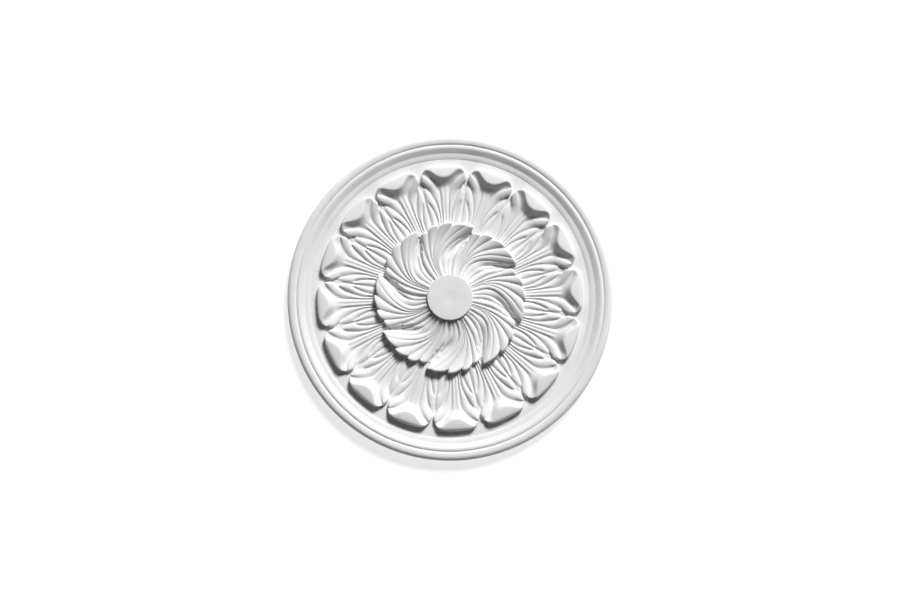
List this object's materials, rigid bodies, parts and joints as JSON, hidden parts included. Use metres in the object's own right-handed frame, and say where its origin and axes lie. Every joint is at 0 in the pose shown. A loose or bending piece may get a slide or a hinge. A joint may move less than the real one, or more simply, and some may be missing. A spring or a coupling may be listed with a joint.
{
  "type": "ceiling rose",
  "caption": "Round plaster ceiling rose with a flat centre button, a crown of swirling acanthus leaves, a ring of petals with rolled lips, and a moulded rim.",
  "frame": {"origin": "centre of the flat back face, which is the face fixed to the ceiling", "axes": "+Z out of the carved face, along the rose's axis; X and Y in the plane of the back"},
  "size_m": [0.6, 0.5999, 0.032],
  "materials": {
    "plaster": "matt cast plaster, uncoated"
  },
  "bodies": {
    "root": {"ceiling_rose": "plaster"}
  },
  "joints": []
}
